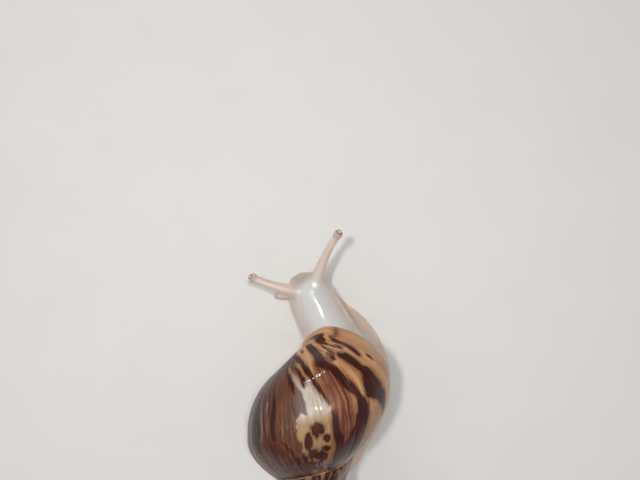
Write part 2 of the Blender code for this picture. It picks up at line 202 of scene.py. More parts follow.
def mesh_object(name, points, faces, fields=None):
    """A smooth-shaded mesh from points in mm and quads, with named numbers on its points."""
    faces = np.asarray(faces, np.int32)
    used = np.unique(faces)
    renumber = np.full(len(points), -1, np.int32)
    renumber[used] = np.arange(len(used))
    faces = renumber[faces]
    mesh = bpy.data.meshes.new(name)
    mesh.vertices.add(len(used))
    mesh.vertices.foreach_set("co", ((points[used] - CENTRE) * MM).astype(np.float32).ravel())
    sides = faces.shape[1]
    mesh.loops.add(faces.size)
    mesh.loops.foreach_set("vertex_index", faces.ravel())
    mesh.polygons.add(len(faces))
    mesh.polygons.foreach_set("loop_start", np.arange(0, faces.size, sides, dtype=np.int32))
    mesh.polygons.foreach_set("use_smooth", np.ones(len(faces), bool))
    mesh.update(calc_edges=True)
    for key, values in (fields or {}).items():
        store = mesh.attributes.new(key, "FLOAT", "POINT")
        store.data.foreach_set("value", np.asarray(values, np.float32)[used])
    mesh.validate()
    obj = bpy.data.objects.new(name, mesh)
    bpy.context.scene.collection.objects.link(obj)
    return obj


# ---- shell ----

def bezier(a, b, c, d, count):
    t = np.linspace(0.0, 1.0, count)[:, None]
    a, b, c, d = (np.array(p, float) for p in (a, b, c, d))
    return (1 - t) ** 3 * a + 3 * (1 - t) ** 2 * t * b + 3 * (1 - t) * t * t * c + t ** 3 * d


def shell_profile(counts=(36, 18, 46, 9)):
    """Across value, radius, depth and lean of one section, from the suture to the axis."""
    top = np.array(SUTURE)
    low = top * EXPANSION
    wide, lip, end = np.array(PERIPHERY), np.array(BASAL_LIP), np.array([0.0, COLUMELLA_END])
    rest = 0.35 * (low[1] - wide[1])
    first, last = LIP_LEAN
    spans = [
        (bezier(top, top + SHOULDER, wide - (0, FLANK), wide, counts[0]), 0.0, 2 / 3, 0.0, 0.7 * first),
        (bezier(wide, wide + (0, rest), low - (0.6 * (low[0] - wide[0]), rest), low, counts[1]),
         2 / 3, 1.0, 0.7 * first, first),
        (bezier(low, low + (-0.018, BASE_BULGE), lip + (0.1, 0), lip, counts[2]),
         1.0, 1.9375, first, first + (last - first) * 2 / 3),
        (bezier(lip, lip - (0.05, 0), end + (0.02, 0.03), end, counts[3]),
         1.9375, 2.0, first + (last - first) * 2 / 3, last),
    ]
    rows = []
    for curve, v0, v1, lean0, lean1 in spans:
        t = np.linspace(0, 1, len(curve))
        rows.append(np.column_stack([v0 + (v1 - v0) * t, curve, lean0 + (lean1 - lean0) * t])[bool(rows):])
    return np.vstack(rows)


def shell_axes():
    apex = np.array([-math.sin(YAW) * math.cos(PITCH), math.cos(YAW) * math.cos(PITCH), math.sin(PITCH)])
    side = np.array([-math.cos(YAW), -math.sin(YAW), 0.0])
    back = np.cross(apex, side)
    back = back if back[2] > 0 else -back
    return apex, side * math.cos(ROLL) + back * math.sin(ROLL), back * math.cos(ROLL) - side * math.sin(ROLL)


def bell(value, reach):
    return np.exp(-(value / reach) ** 2)


def sink(growth, across):
    """Share of the sinking of the suture, equal on both sides of each suture line."""
    middle, reach, newer, older = SINK[:4]
    part = bell(growth - middle, reach) * bell(across, newer)
    part += bell(growth - middle + 360, reach) * bell(across - 1, older)
    deep = bell(growth - middle + 720, reach) * bell(1.0, older) * bell(across - 1, 0.5)
    part += deep * np.minimum(1, across / 0.13)
    return part * np.minimum(1, (2 - across) / 0.0625)


def swell(growth, across):
    """Outward and forward shift, in shell heights, of points by growth angle in degrees."""
    part = sink(growth, across)
    out, forward = SINK[4] * part, SINK[5] * part
    fade = np.clip(np.minimum((2 - across) / 0.0625, across / 0.13), 0, 1)
    inner = np.clip(np.minimum(across / 0.13, (1 - across) / 0.25), 0, 1)
    for (g, v, reach, spread, outward, ahead), share in [(row, fade) for row in SWELLS] + [(HOLLOW, inner)]:
        part = bell(growth - g, reach) * bell(across - v, spread) * share
        out, forward = out + outward * part, forward + ahead * part
    return out / SHELL_HEIGHT, forward / SHELL_HEIGHT


def shell_place(angle, radius, depth, shift=(0.0, 0.0)):
    """Points of the spiral: angle in radians from the lip, lengths in shell heights before growth."""
    apex, lip, back = (axis[:, None] for axis in shell_axes())
    size = EXPANSION ** (angle / TAU)
    radius, depth = radius * size + shift[0], depth * size + shift[1]
    a, h = APEX_BLUNT, SHELL_HEIGHT
    depth = (np.sqrt(depth ** 2 + a * a) - a) / (math.sqrt(1 + a * a) - a)
    shape = np.shape(radius)
    flat = [np.ravel(v) for v in (h * (1 - depth), h * radius * np.cos(angle), -h * radius * np.sin(angle))]
    return (BASE_POINT[:, None] + apex * flat[0] + lip * flat[1] + back * flat[2]).T.reshape(*shape, 3)


def streaks(growth, across, long, often, seed):
    """Noise on the sheet of the shell, drawn out along the growth lines."""
    return noise(np.stack([growth / long, across * often], -1), seed)


def growth_relief(growth, across):
    """Height of the growth lines and of the crenulated suture, in mm, mostly below the plain spiral."""
    g, v = growth, across
    fine = streaks(g, v, 1.15, 1.3, 3) + 0.5 * streaks(g, v, 0.55, 2.4, 4)
    broad = streaks(g, v, 9.0, 1.5, 5) + 0.7 * streaks(g, v, 21.0, 0.8, 6)
    near_suture = 1 - ease(v, 0.0, 0.22)
    rests = np.zeros_like(g)
    for at, depth in RESTS:
        rests += depth * np.exp(-((g - at - 1.5 * np.sin(v * 2.1)) / 1.3) ** 2)
    size = EXPANSION ** (g / 360.0)
    pleat = np.maximum(0, streaks(g, v, 2.6, 0.6, 8))
    return size * (0.022 * fine + 0.05 * broad - 0.06 - rests - 0.10 * near_suture * pleat)


def surface_normals(points):
    along = np.gradient(points, axis=0)
    over = np.gradient(points, axis=1)
    normals = np.cross(along, over)
    return normals / np.maximum(np.linalg.norm(normals, axis=2, keepdims=True), 1e-9)


def shell_rows():
    """Angles of the sections, close together where the last whorl shows its growth lines."""
    turns = -SHELL_TURNS * 360
    spans = [(turns, -1080, 3.0), (-1080, -560, 1.5), (-560, -400, 1.0), (-400, 0.01, 0.5)]
    return np.concatenate([np.arange(*span) for span in spans])


def shell_sheet():
    """Grid of points of the outer wall, the rounded lip and the inner wall, with growth and across values."""
    table = shell_profile()
    v, radius, depth, lean = table.T
    g = shell_rows()
    angle = np.radians(g)[:, None] - np.radians(lean) * ease(g / 180.0 + 1.0)[:, None]
    growth, across = np.meshgrid(g, v, indexing="ij")
    shift = swell(growth, across)
    radius, depth = (np.broadcast_to(values, angle.shape) for values in (radius, depth))
    outer = shell_place(angle, radius, depth, shift)
    normals = surface_normals(outer)
    axis = BASE_POINT + shell_axes()[0] * 15.0
    sample = (-300, 30)            # a point of the last whorl's outer wall, which tells the way of all
    if ((outer[sample] - axis) * normals[sample]).sum() < 0:
        normals = -normals
    tuck = ease(across, 0.0, 0.02)[..., None]
    outer = outer + normals * (growth_relief(growth, across)[..., None] * tuck)
    ahead = outer[-1] - outer[-3]
    ahead /= np.maximum(np.linalg.norm(ahead, axis=1, keepdims=True), 1e-9)
    rim = []
    for turn in np.radians([30, 60, 90, 120, 150, 180]):
        inward, forward = WALL / 2 * (math.cos(turn) - 1), WALL / 2 * math.sin(turn)
        rim.append(outer[-1] + normals[-1] * inward + ahead * forward)
    back = np.flatnonzero(g > -INNER_TURN)[::-6]
    thick = WALL * (1 + 0.8 * ease(-g[back] / 40.0))
    inner = outer[back] - normals[back] * thick[:, None, None]
    points = np.concatenate([outer, np.array(rim), inner])
    rows = len(points)
    grown = np.concatenate([growth, np.zeros((6, len(v))), growth[back]])
    inside = np.concatenate([np.zeros(len(g)), np.linspace(0.2, 0.8, 6), np.ones(len(back))])
    return points, grown, np.tile(v, (rows, 1)), np.repeat(inside[:, None], len(v), 1)


def shell_faces(growth, across, inside):
    """Quads of the grid: earlier whorls as far as the next suture, and the inner wall short of the axis."""
    rows, columns = growth.shape
    number = np.arange(rows * columns).reshape(rows, columns)
    keep = (across[1:, 1:] < 1.1) | (growth[:-1, :-1] > -540)
    keep &= (inside[1:, 1:] < 0.1) | (across[1:, 1:] < 1.96)
    quads = np.stack([number[:-1, :-1], number[:-1, 1:], number[1:, 1:], number[1:, :-1]], -1)
    return quads[keep]


# Dark flames of the last third of the body whorl: across value, growth angle, half width in degrees
FLAMES = [
    [(1.79, -19.3, 0.8), (1.70, -22, 2.7), (1.60, -22.5, 2.2), (1.50, -22.8, 2.4), (1.43, -24, 1.7),
     (1.38, -24.5, 0.4)],
    [(1.95, -24, 4.0), (1.91, -27, 9.0), (1.87, -31, 9.5), (1.82, -34, 6.0), (1.78, -35.5, 2.0)],
    [(1.53, -37.5, 1.0), (1.47, -36.5, 3.2), (1.40, -34.5, 3.9), (1.34, -34, 4.1), (1.29, -33.5, 3.7),
     (1.24, -31, 5.6), (1.18, -30.5, 6.8), (1.08, -31.5, 7.2), (0.97, -31, 8.2), (0.83, -26, 7.0),
     (0.72, -23, 5.3), (0.62, -20.5, 3.0), (0.56, -19, 0.6)],
    [(1.95, -56, 6.0), (1.85, -57, 7.0), (1.75, -55.5, 8.5), (1.65, -57, 7.0), (1.50, -59.5, 5.0),
     (1.38, -54, 3.7), (1.26, -51, 3.9), (1.18, -50.2, 4.0), (1.10, -48.5, 3.5), (1.03, -46.5, 2.4),
     (0.96, -44.5, 4.2), (0.78, -44.8, 4.8), (0.62, -46.5, 6.4), (0.48, -50.0, 8.4), (0.36, -53, 11.5),
     (0.22, -56, 12.0), (0.10, -60, 8.0)],
    [(1.82, -94, 3.0), (1.72, -85, 3.4), (1.62, -79.5, 3.0), (1.50, -77.5, 3.4), (1.40, -75.5, 3.6),
     (1.30, -73.5, 2.6), (1.14, -69.5, 1.8), (1.02, -68.5, 0.8)],
    [(0.92, -67.5, 0.8), (0.78, -67, 1.8), (0.58, -65.5, 2.8), (0.40, -63, 3.4), (0.20, -66, 2.0)],
    [(1.68, -104, 1.2), (1.52, -98.5, 2.0), (1.36, -94, 2.0), (1.24, -93, 0.8)],
    [(1.66, -91, 0.8), (1.50, -85, 1.8), (1.36, -83, 2.0), (1.29, -83, 0.6)],
    [(1.42, -134, 1.5), (1.20, -136.5, 5.8), (0.95, -137, 6.4), (0.70, -136, 5.4), (0.52, -133, 1.5)],
    [(0.66, -108, 0.6), (0.52, -103, 2.2), (0.36, -99, 2.6), (0.22, -97, 3.4), (0.08, -92, 2.5)],
    [(1.50, -114, 0.8), (1.20, -113.5, 2.0), (0.90, -114.5, 2.4), (0.66, -113, 1.6)],
]
# The pale flame on the back, the warm smoke by the lip, a painted grey reflection in the pale flame, and thin
# tan lines
PALE = [(1.66, -100, 1.4), (1.46, -92, 3.6), (1.34, -85, 6.5), (1.20, -79.5, 7.6), (1.08, -79.5, 10.0),
        (0.96, -82, 14.0), (0.70, -82.5, 14.0), (0.50, -81, 12.5), (0.36, -82, 10.5), (0.18, -83, 6.0),
        (0.08, -84, 2.0)]
SMOKE = [(1.66, -38, 1.0), (1.61, -42, 6.0), (1.54, -47, 6.0), (1.46, -52, 4.0)]
GREY_REFLECTION_KNOTS = [(1.33, -89.5, 0.6), (1.24, -90.0, 4.0), (1.12, -90.5, 6.0), (1.03, -89.0, 3.0), (0.98, -87.0, 0.6)]
LINES = [
    [(1.45, -124, 0.5), (1.20, -121, 1.1), (0.80, -119.5, 1.2), (0.58, -118, 0.5)],
    [(1.40, -131, 0.5), (1.15, -127.5, 1.1), (0.80, -126.5, 1.4), (0.60, -126, 0.6)],
    [(0.74, -148, 0.5), (0.60, -144, 1.3), (0.42, -137, 1.5), (0.30, -133, 0.6)],
]
# Round dark spots: across value, growth angle, half height, half width
SPOTS = [
    (0.70, -79.5, 0.10, 5.2), (0.58, -87.5, 0.095, 2.8), (0.56, -74.0, 0.04, 2.6),
    (0.42, -84.5, 0.06, 4.6), (0.37, -79.0, 0.06, 5.0), (0.45, -74.5, 0.035, 3.4), (0.29, -96.0, 0.04, 2.6),
    (0.165, -79.0, 0.05, 2.4), (0.245, -86.0, 0.03, 2.0), (1.755, -33.0, 0.05, 2.2),
    (1.33, -17.3, 0.045, 1.3), (1.79, -75.0, 0.025, 2.2), (0.10, -104.0, 0.04, 3.0), (0.16, -70.0, 0.03, 2.0),
]


def band(growth, across, knots):
    """How deep a point lies inside a flame, in degrees; negative outside."""
    knots = sorted(knots)
    v, g, half = (np.array([k[i] for k in knots]) for i in range(3))
    middle = np.interp(across, v, g)
    width = np.interp(across, v, half)
    beyond = np.maximum(v[0] - across, across - v[-1])
    return width - np.abs(growth - middle) - np.maximum(beyond, 0) * 120


# Two sways of the older flames and their change of width: size, waves across, drift to the next, seed
FLAME_WAVES = [(5.0, 1.9, 0.37, 21), (1.6, 5.5, 0.37, 22), (0.55, 3.1, 0.53, 23)]


def older_flames(growth, across):
    """Flames of the older whorls: wavy streaks of uneven width that break and join."""
    rng = np.random.default_rng(11)
    field = np.full(growth.shape, NO_FLAME)
    sections = growth.mean(axis=1)
    at = -152.0
    while at > -2400:
        wide = rng.uniform(3.0, 5.6) if at > -330 else rng.uniform(2.0, 4.6)
        slant = rng.uniform(-3.0, 5.0)
        near = np.flatnonzero(np.abs(sections - at) < 28)
        if len(near):
            cut = slice(near[0], near[-1] + 1)
            g, v = growth[cut], across[cut]
            sway, more, thicker = (size * noise(np.stack([v * often, np.full_like(v, at * step)], -1), seed)
                                   for size, often, step, seed in FLAME_WAVES)
            middle = at + (sway + more) + slant * (v - 1.0) + 7.0 * ease(v, 1.2, 2.0)
            field[cut] = np.maximum(field[cut], wide * (1 + thicker) - np.abs(g - middle))
        at -= wide + rng.uniform(4.6, 8.5)
    return field


def flame_fields(growth, across):
    """Signed depth of the dark and pale flames and of the painted grey reflection, and shares of the ground
    colours.
    """
    warp = 1.3 * streaks(growth, across, 13, 4.2, 31) + 0.7 * streaks(growth, across, 4.5, 9.5, 32)
    g, v = growth + warp, across + 0.018 * streaks(growth, across, 6.0, 5.0, 33)
    dark = np.full(growth.shape, NO_FLAME)
    for knots in FLAMES:
        dark = np.maximum(dark, band(g, v, knots))
    ragged = 0.17 * streaks(growth, across, 2.3, 17.0, 36) + 0.09 * streaks(growth, across, 1.1, 34.0, 37)
    for v0, g0, tall, wide in SPOTS:
        reach = np.sqrt(((v - v0) / tall) ** 2 + ((g - g0) / wide) ** 2) + ragged
        dark = np.maximum(dark, (1 - reach) * 7.0)
    mottled = zone(-g, 60, 68, 112, 122) * zone(v, 0.02, 0.1, 0.34, 0.48)
    blots = streaks(g, v, 3.4, 9.0, 34) + 0.6 * streaks(g, v, 1.6, 17.0, 35)
    clouded = zone(-g, 23, 29, 47, 52) * zone(v, 1.44, 1.54, 1.93, 1.98)
    blotch = streaks(g, v, 4.4, 7.5, 38) + 0.5 * streaks(g, v, 1.9, 16.0, 39)
    for share, depth in ((mottled, 7.0 * (blots + 0.12)), (clouded, 6.5 * (blotch - 0.02))):
        dark = np.maximum(dark, np.where(share > 0.02, depth + NO_FLAME * (1 - share), NO_FLAME))
    dark = np.maximum(dark, older_flames(g, v))
    notch = 0.6 - np.abs(v - 1.72 - 0.0035 * (g + 23)) * 60    # a thin dark line to the lip
    notch += -np.maximum(0, -23 - g) - np.maximum(0, g + 5) * 0.3
    dark = np.maximum(dark, notch)
    pale = band(g, v, PALE) - 12.0 * ragged * ease(-v, -1.2, -0.5)
    # Painted reflection: a grey patch in the pale flame.
    grey_reflection = band(g, v, GREY_REFLECTION_KNOTS)
    for knots in LINES:
        line = band(g, v, knots)
        dark = np.where(line > 0, np.minimum(dark, -line), dark)
        pale = np.maximum(pale, line - 0.95)
    return {"dark": dark, "pale": pale, "grey_reflection": grey_reflection, **ground_shares(growth, g, v)}


def ground_shares(growth, g, v):
    """How far the ground between the flames is warm tan, dark maroon, or nearly black at the edge."""
    warm = zone(-growth, 50, 54, 66, 72) * zone(v, 0.40, 0.55, 1.42, 1.62)
    bronze = 0.5 * zone(-growth, 90, 96, 112, 120) * ease(v, 0.3, 0.5)
    maroon = zone(-growth, 84, 92, 128, 140) * (0.82 + 0.18 * ease(v, 1.50, 1.66))
    umber = ease(-growth, 90, 100) * (1 - ease(v, 0.50, 0.80))
    umber = np.maximum(umber, ease(-growth, 106, 114)) * (1 - 0.5 * ease(-growth, 165, 185))
    smoke = ease(band(g, v, SMOKE), -1.5, 1.5)
    deep = zone(-growth, 126, 131, 142, 146) * zone(v, 0.45, 0.6, 1.2, 1.5)
    warm = np.maximum(np.maximum(warm, bronze), smoke)
    return {"warm": warm, "maroon": np.maximum(maroon, umber), "deep": deep}


def make_shell():
    points, growth, across, inside = shell_sheet()
    faces = shell_faces(growth, across, inside)
    fields = {"growth": growth, "across": across, "inside": inside, **flame_fields(growth, across)}
    count = growth.shape[1]
    pole = shell_place(np.array([0.0]), np.array([0.0]), np.array([SUTURE[1] * EXPANSION ** -SHELL_TURNS]))
    flat = points.reshape(-1, 3)
    turn = int(np.searchsorted(shell_rows(), -(SHELL_TURNS - 1) * 360))
    tip = len(flat)
    ring = [row * count for row in range(turn + 1)]
    flat = np.vstack([flat, pole])
    fields = {k: np.append(f.ravel(), f.ravel()[0]) for k, f in fields.items()}
    closing = [(tip, ring[i], ring[i + 1], ring[i + 2]) for i in range(0, len(ring) - 2, 2)]
    shell = mesh_object("shell_spiral", flat, np.vstack([faces, closing]), fields)
    shell.data.materials.append(shell_material())
    return shell


# ---- skin ----

def between_cells(table, low, step, points, kind):
    """Values at any points, mixed from the eight nearest places of a table on a lattice."""
    where = np.clip((points - low) / step, 0, np.array(table.shape) - 1.001)
    cell = where.astype(int)
    part = where - cell
    total = np.zeros(points.shape[:-1], kind)
    for corner in CORNERS:
        weight = np.ones(points.shape[:-1], kind)
        for k, bit in enumerate(corner):
            weight = weight * (part[..., k] if bit else 1 - part[..., k])
        total += weight * table[tuple(cell[..., k] + bit for k, bit in enumerate(corner))]
    return total


class Lattice:
    """A field of signed distances in mm, negative inside the flesh."""

    def __init__(self, low, high):
        self.low = np.array(low, float)
        self.count = np.ceil((np.array(high) - self.low) / STEP).astype(int) + 1
        self.field = np.full(self.count, 6.0, np.float32)

    def window(self, low, high):
        first = np.clip(np.floor((np.array(low) - self.low) / STEP).astype(int), 0, self.count)
        last = np.clip(np.ceil((np.array(high) - self.low) / STEP).astype(int) + 1, 0, self.count)
        cut = tuple(slice(a, b) for a, b in zip(first, last))
        axes = [self.low[k] + STEP * np.arange(first[k], last[k]) for k in range(3)]
        return cut, np.stack(np.meshgrid(*axes, indexing="ij"), -1).astype(np.float32)

    def join(self, low, high, shape, soft):
        """Adds a shape, given as a function of points, with a rounded fillet."""
        cut, points = self.window(low, high)
        self.field[cut] = soft_min(self.field[cut], shape(points), soft)

    def sample(self, points):
        return between_cells(self.field, self.low, STEP, points, float)

    def slope(self, points):
        steps = np.eye(3) * STEP * 0.5
        away = np.stack([self.sample(points + d) - self.sample(points - d) for d in steps], 1)
        return away / np.maximum(np.linalg.norm(away, axis=1, keepdims=True), 1e-6)


def soft_min(a, b, soft):
    h = np.clip(0.5 + 0.5 * (b - a) / soft, 0, 1)
    return b + (a - b) * h - soft * h * (1 - h)


def along(points, stations):
    """Fractional number of the cross-section of a path that a point lies in."""
    path = stations[:, :3]
    ahead = np.gradient(path, axis=0)
    ahead /= np.linalg.norm(ahead, axis=1, keepdims=True)
    place = np.zeros(points.shape[:-1], np.float32)
    before = (points - path[0]) @ ahead[0]
    for i in range(len(path) - 1):
        after = (points - path[i + 1]) @ ahead[i + 1]
        hit = (before >= 0) & (after < 0)
        place[hit] = i + (before / np.maximum(before - after, 1e-6))[hit]
        before = after
    place[before >= 0] = len(path) - 1
    return place


def neck_coordinates(points):
    """Station, offset across, offset up, the sizes of the section there, and offset ahead."""
    stations = smooth_rows(NECK, NECK_SECTIONS)
    at = along(points, stations)
    number = np.arange(len(stations))
    x, y, z, wide, high = (np.interp(at, number, stations[:, k]) for k in range(5))
    ahead = np.gradient(stations[:, :2], axis=0)
    ahead /= np.linalg.norm(ahead, axis=1, keepdims=True)
    ax, ay = (np.interp(at, number, ahead[:, k]) for k in range(2))
    dx, dy, dz = points[..., 0] - x, points[..., 1] - y, points[..., 2] - z
    over = dx * ay - dy * ax
    front = dx * ax + dy * ay
    return at, over, dz, wide, high, front


def neck_shape(points):
    """The neck: a rounded back, sides that fall steeply to the foot, and a rounded front."""
    at, over, up, wide, high, front = neck_coordinates(points)
    power = np.where(up > 0, 2.05, 2.6)
    tall = np.where(up > 0, high, high * 1.12)
    ratio = (np.abs(over / wide) ** power + np.abs(up / tall) ** power) ** (1 / power)
    flat = np.hypot(over, up)
    side = np.where(flat > 1e-3, flat - flat / np.maximum(ratio, 1e-3), -np.minimum(wide, high))
    beyond = np.where(at >= NECK_SECTIONS - 1, front * 1.25, 0.0) + np.where(at <= 0, -front, 0.0)
    capped = np.sqrt(np.maximum(side, 0) ** 2 + beyond ** 2) + np.minimum(side, 0) * 0.5
    return np.where(beyond > 0, capped, side)


def ball(middle, sizes, turn=0.0, dip=0.0):
    """A distance function of an ellipsoid, turned about the vertical and dipped forward."""
    spin = np.array(Matrix.Rotation(math.radians(turn), 3, "Z") @ Matrix.Rotation(math.radians(dip), 3, "X"))
    sizes = np.array(sizes, float)

    def shape(points):
        local = (points - np.array(middle)) @ spin
        scaled = np.linalg.norm(local / sizes, axis=-1)
        slope = np.linalg.norm(local / sizes ** 2, axis=-1)
        return scaled * (scaled - 1) / np.maximum(slope, 1e-4)
    return shape


def stalk_shape(stations):
    rows = smooth_rows(stations, STALK_SECTIONS)

    def shape(points):
        return stalk_distance(points, rows)[0]
    return shape


def stalk_distance(points, rows):
    """Distance to a tapered tube, and how far along it the nearest place is, from 0 to 1."""
    best = np.full(points.shape[:-1], 9.0)
    place = np.zeros(points.shape[:-1])
    for i, (one, two) in enumerate(zip(rows, rows[1:])):
        run = two[:3] - one[:3]
        t = np.clip((points - one[:3]) @ run / (run @ run), 0, 1)
        gap = np.linalg.norm(points - one[:3] - t[..., None] * run, axis=-1)
        gap -= one[3] + t * (two[3] - one[3])
        near = gap < best
        best = np.where(near, gap, best)
        place = np.where(near, (i + t) / (len(rows) - 1), place)
    return best, place


def foot_map(x, y):
    """Plan distance outside the edge of the foot, share across, and thickness of the back."""
    rows = smooth_rows(FOOT, FOOT_SECTIONS)
    best, nearest = np.full(x.shape, 99.0), np.full(x.shape, 99.0)
    place = np.zeros(x.shape)
    for i in range(len(rows) - 1):
        run = rows[i + 1, :2] - rows[i, :2]
        t = np.clip(((x - rows[i, 0]) * run[0] + (y - rows[i, 1]) * run[1]) / (run @ run), 0, 1)
        gap = np.hypot(x - rows[i, 0] - t * run[0], y - rows[i, 1] - t * run[1])
        half = rows[i, 2] + t * (rows[i + 1, 2] - rows[i, 2])
        near = gap < nearest
        nearest = np.where(near, gap, nearest)
        best = np.where(near, gap - half, best)
        place = np.where(near, i + t, place)
    half = np.interp(place, np.arange(len(rows)), rows[:, 2])
    back = np.interp(place, np.arange(len(rows)), rows[:, 3])
    plan = np.stack([x, y], -1)
    wave = 0.16 * noise(plan / 2.9, 41) + 0.07 * noise(plan / 1.1, 42)
    edge = best + wave - 0.05
    return edge, np.clip((best + half) / half, 0, 1), back


def foot_field(lattice):
    """The foot: a level sole, a thin flange with a rounded rim, and a low domed back."""
    cut, points = lattice.window((-16, 7, -1), (6.5, 65, 5))
    x, y = points[:, :, 0, 0].astype(float), points[:, :, 0, 1].astype(float)
    edge, share, back = foot_map(x, y)
    rim = np.minimum(FLANGE, back * 0.8)
    dome = (1 - share ** 2.5) ** 2
    top = rim + (back - rim) * dome
    z = points[..., 2]
    slope = np.sqrt(1 + sum(np.gradient(top, STEP)[k] ** 2 for k in range(2)))
    over = (z - top[..., None]) / slope[..., None]
    round_off = 0.36
    a, b = edge[..., None] + round_off, np.maximum(over, -z) + round_off
    field = np.minimum(np.maximum(a, b), 0) + np.hypot(np.maximum(a, 0), np.maximum(b, 0)) - round_off
    lattice.field[cut] = np.minimum(lattice.field[cut], field)


def mouth_ring(angle, scale):
    """The opening of the shell at one section, shrunk about its middle."""
    count = 40
    table = shell_profile((10, 6, 14, 5))
    v, radius, depth, lean = table.T
    share = float(ease(angle / math.pi + 1))
    size = EXPANSION ** (angle / TAU)
    out, forward = swell(np.full(len(v), math.degrees(angle)), v)
    outer = np.column_stack([radius + out / size, depth + forward / size, angle - np.radians(lean) * share])
    base = table[v > 1.0][::-1]
    back = np.linspace(outer[-1, 2], angle, len(base) + 1)[:-1]
    inner = np.column_stack([base[:, 1] / EXPANSION, base[:, 2] / EXPANSION, back])
    loop = np.vstack([outer, inner])
    loop[:, 0] = np.maximum(loop[:, 0], 0.022)
    middle = loop[:, :2].mean(axis=0)
    loop[:, :2] = middle + (loop[:, :2] - middle) * scale
    ring = shell_place(loop[:, 2], loop[:, 0], loop[:, 1])
    steps = np.linalg.norm(np.roll(ring, -1, axis=0) - ring, axis=1)
    far = np.concatenate([[0], np.cumsum(steps)])
    at = np.linspace(0, far[-1], count + 1)[:-1]
    closed = np.vstack([ring, ring[:1]])
    return np.stack([np.interp(at, far, closed[:, k]) for k in range(3)], 1)


def lofted(rings):
    """Points and triangles of a closed body through rings of equal counts."""
    count = len(rings[0])
    last = (len(rings) - 1) * count
    tip = last + count
    faces = []
    for i in range(count):
        j = (i + 1) % count
        for first in range(0, last, count):
            a, b, c, d = first + i, first + j, first + count + j, first + count + i
            faces += [(a, b, c), (a, c, d)]
        faces += [(tip, j, i), (tip + 1, last + i, last + j)]
    return np.vstack([*rings, [np.mean(rings[0], axis=0), np.mean(rings[-1], axis=0)]]), faces


def mesh_distance(points, faces, low, high, step):
    """Signed distances to a closed mesh on a coarse lattice, as a function of points."""
    tree = BVHTree.FromPolygons([tuple(p) for p in points], [tuple(f) for f in faces])
    low = np.array(low, float)
    count = np.ceil((np.array(high) - low) / step).astype(int) + 1
    levels = low[2] + step * np.arange(count[2])
    table = np.empty(count)
    for i, j in np.ndindex(*count[:2]):
        x, y = low[:2] + step * np.array((i, j))
        crossings = np.zeros(count[2], int)
        start = Vector((x + 0.0013, y + 0.0017, low[2] - 50))
        while True:
            hit = tree.ray_cast(start, Vector((0, 0, 1)))[0]
            if hit is None:
                break
            crossings += levels > hit.z
            start.z = hit.z + 1e-4
        for k, z in enumerate(levels):
            gap = tree.find_nearest(Vector((x, y, z)))[3]
            table[i, j, k] = -gap if crossings[k] % 2 else gap

    return lambda at: between_cells(table, low, step, at, np.float32)


def trunk_shape():
    """The stalk of the body, from the aperture down to the back of the foot."""
    top = mouth_ring(math.radians(-10), 0.82)
    x, y, half_x, half_y = TRUNK_FOOT
    middle = top.mean(axis=0)
    steps = np.linalg.norm(np.roll(top, -1, axis=0) - top, axis=1)
    turned = np.concatenate([[0.0], np.cumsum(steps)[:-1]]) / steps.sum() * TAU
    ahead = np.roll(top, -1, axis=0)
    area = (top[:, 0] * ahead[:, 1] - ahead[:, 0] * top[:, 1]).sum()
    start = math.atan2((top[0, 1] - middle[1]) / half_y, (top[0, 0] - middle[0]) / half_x)
    turn = start + math.copysign(1, area) * turned
    low = np.stack([x + half_x * np.cos(turn), y + half_y * np.sin(turn), np.full(len(turn), 1.2)], 1)
    rings = []
    for share in np.linspace(0, 1, 14):
        ring = top + (low - top) * share ** 2.2
        ring[:, 2] = top[:, 2] + (low[:, 2] - top[:, 2]) * share
        centre = ring.mean(axis=0)
        rings.append(centre + (ring - centre) * (1 - 0.08 * math.sin(math.pi * share)))
    return mesh_distance(*lofted(rings), (-17, 13, -1), (5, 47, 19), 0.7)


def plug_shape():
    """The mantle that fills the opening, just inside the lip."""
    sections = ((-3.5, 0.84), (-5, 0.90), (-9, 0.90), (-16, 0.88), (-26, 0.82))
    rings = [mouth_ring(math.radians(angle), scale) for angle, scale in sections]
    return mesh_distance(*lofted(rings), (-15, 15, 10), (6, 44, 25), 0.6)


def shell_distance():
    """Signed distance to the solid shell of the frame."""
    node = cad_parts["shell"]
    mesh = node.data
    mesh.calc_loop_triangles()
    faces = read(mesh.loop_triangles, "vertices", 3, np.int32)
    world = np.array(node.matrix_world)
    points = read(mesh.vertices, "co", 3, float) @ world[:3, :3].T + world[:3, 3]
    return mesh_distance(points / MM + CENTRE, faces, (-16, 12, -1), (12, 58, 23), 0.7)


